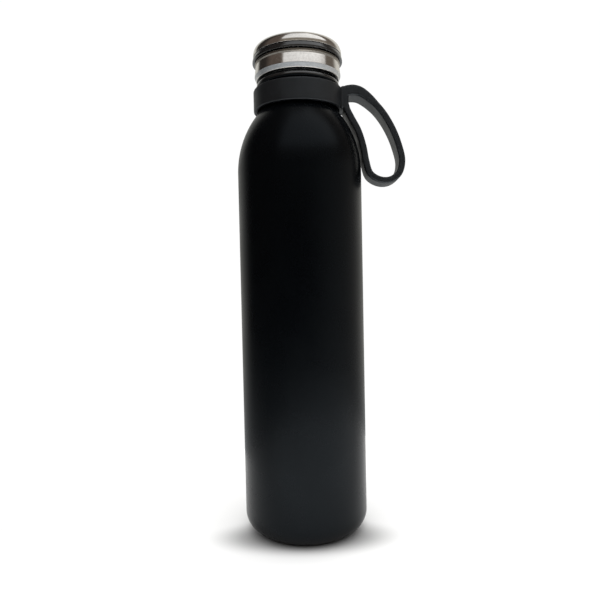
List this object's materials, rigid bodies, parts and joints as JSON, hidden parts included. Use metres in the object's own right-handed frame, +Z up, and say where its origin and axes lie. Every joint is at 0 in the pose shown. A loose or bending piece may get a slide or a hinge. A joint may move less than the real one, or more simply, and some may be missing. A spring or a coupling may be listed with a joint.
{
  "type": "insulated water bottle",
  "caption": "Slim double-walled steel drinking bottle with a flat base, rounded shoulder, screw lid and a soft carry loop on a swivelling collar.",
  "frame": {"origin": "centre of the flat base, on the surface the bottle stands on", "axes": "+Z runs up the bottle's axis to the lid; +X points to the side the carry loop hangs on"},
  "size_m": [0.0985, 0.073, 0.285],
  "materials": {
    "powder_coat": "fine matte powder coat",
    "base_steel": "spun",
    "inner_steel": "satin",
    "lid_steel": "polished with a fine brush",
    "strap_silicone": "matte moulded silicone",
    "grip_rubber": "smooth, slightly glossy",
    "core_plastic": "moulded",
    "gasket_silicone": "smooth silicone",
    "foam": "closed-cell foam",
    "solder_glass": "glossy bead",
    "getter_alloy": "sintered"
  },
  "bodies": {
    "bottle": {"outer_shell": "powder_coat", "outer_base": "powder_coat", "base_cover": "base_steel", "vacuum_plate": "inner_steel", "vacuum_port_seal": "solder_glass", "getter": "getter_alloy", "inner_vessel": "inner_steel", "inner_floor": "inner_steel"},
    "collar": {"strap_collar": "strap_silicone"},
    "loop": {"strap_loop": "strap_silicone"},
    "seal": {"lid_gasket": "gasket_silicone"},
    "lid": {"lid_skirt_band": "lid_steel", "lid_top_cap": "lid_steel", "lid_grip_ring": "grip_rubber", "lid_core": "core_plastic", "lid_foam": "foam", "lid_plug_cup": "inner_steel"}
  },
  "joints": [
    {"name": "strap_swivel", "type": "hinge", "parent": "bottle", "child": "collar", "pos_m": [0, 0, 0.2537], "axis": [0, 0, 1], "continuous": true},
    {"name": "loop_flex", "type": "hinge", "parent": "collar", "child": "loop", "pos_m": [0.03245, 0, 0.2581], "axis": [0, -1, 0], "range_deg": [0, 100], "stiffness_Nm_per_rad": 0.02},
    {"name": "lid_rise", "type": "slide", "parent": "bottle", "child": "seal", "axis": [0, 0, 1], "range_m": [0, 0.0241]},
    {"name": "lid_turn", "type": "hinge", "parent": "seal", "child": "lid", "pos_m": [0, 0, 0.27], "axis": [0, 0, 1], "range_deg": [0, 1080]}
  ],
  "couplings": [
    {"joint": "lid_rise", "follows": "lid_turn", "m_per_rad": 0.0012732}
  ]
}
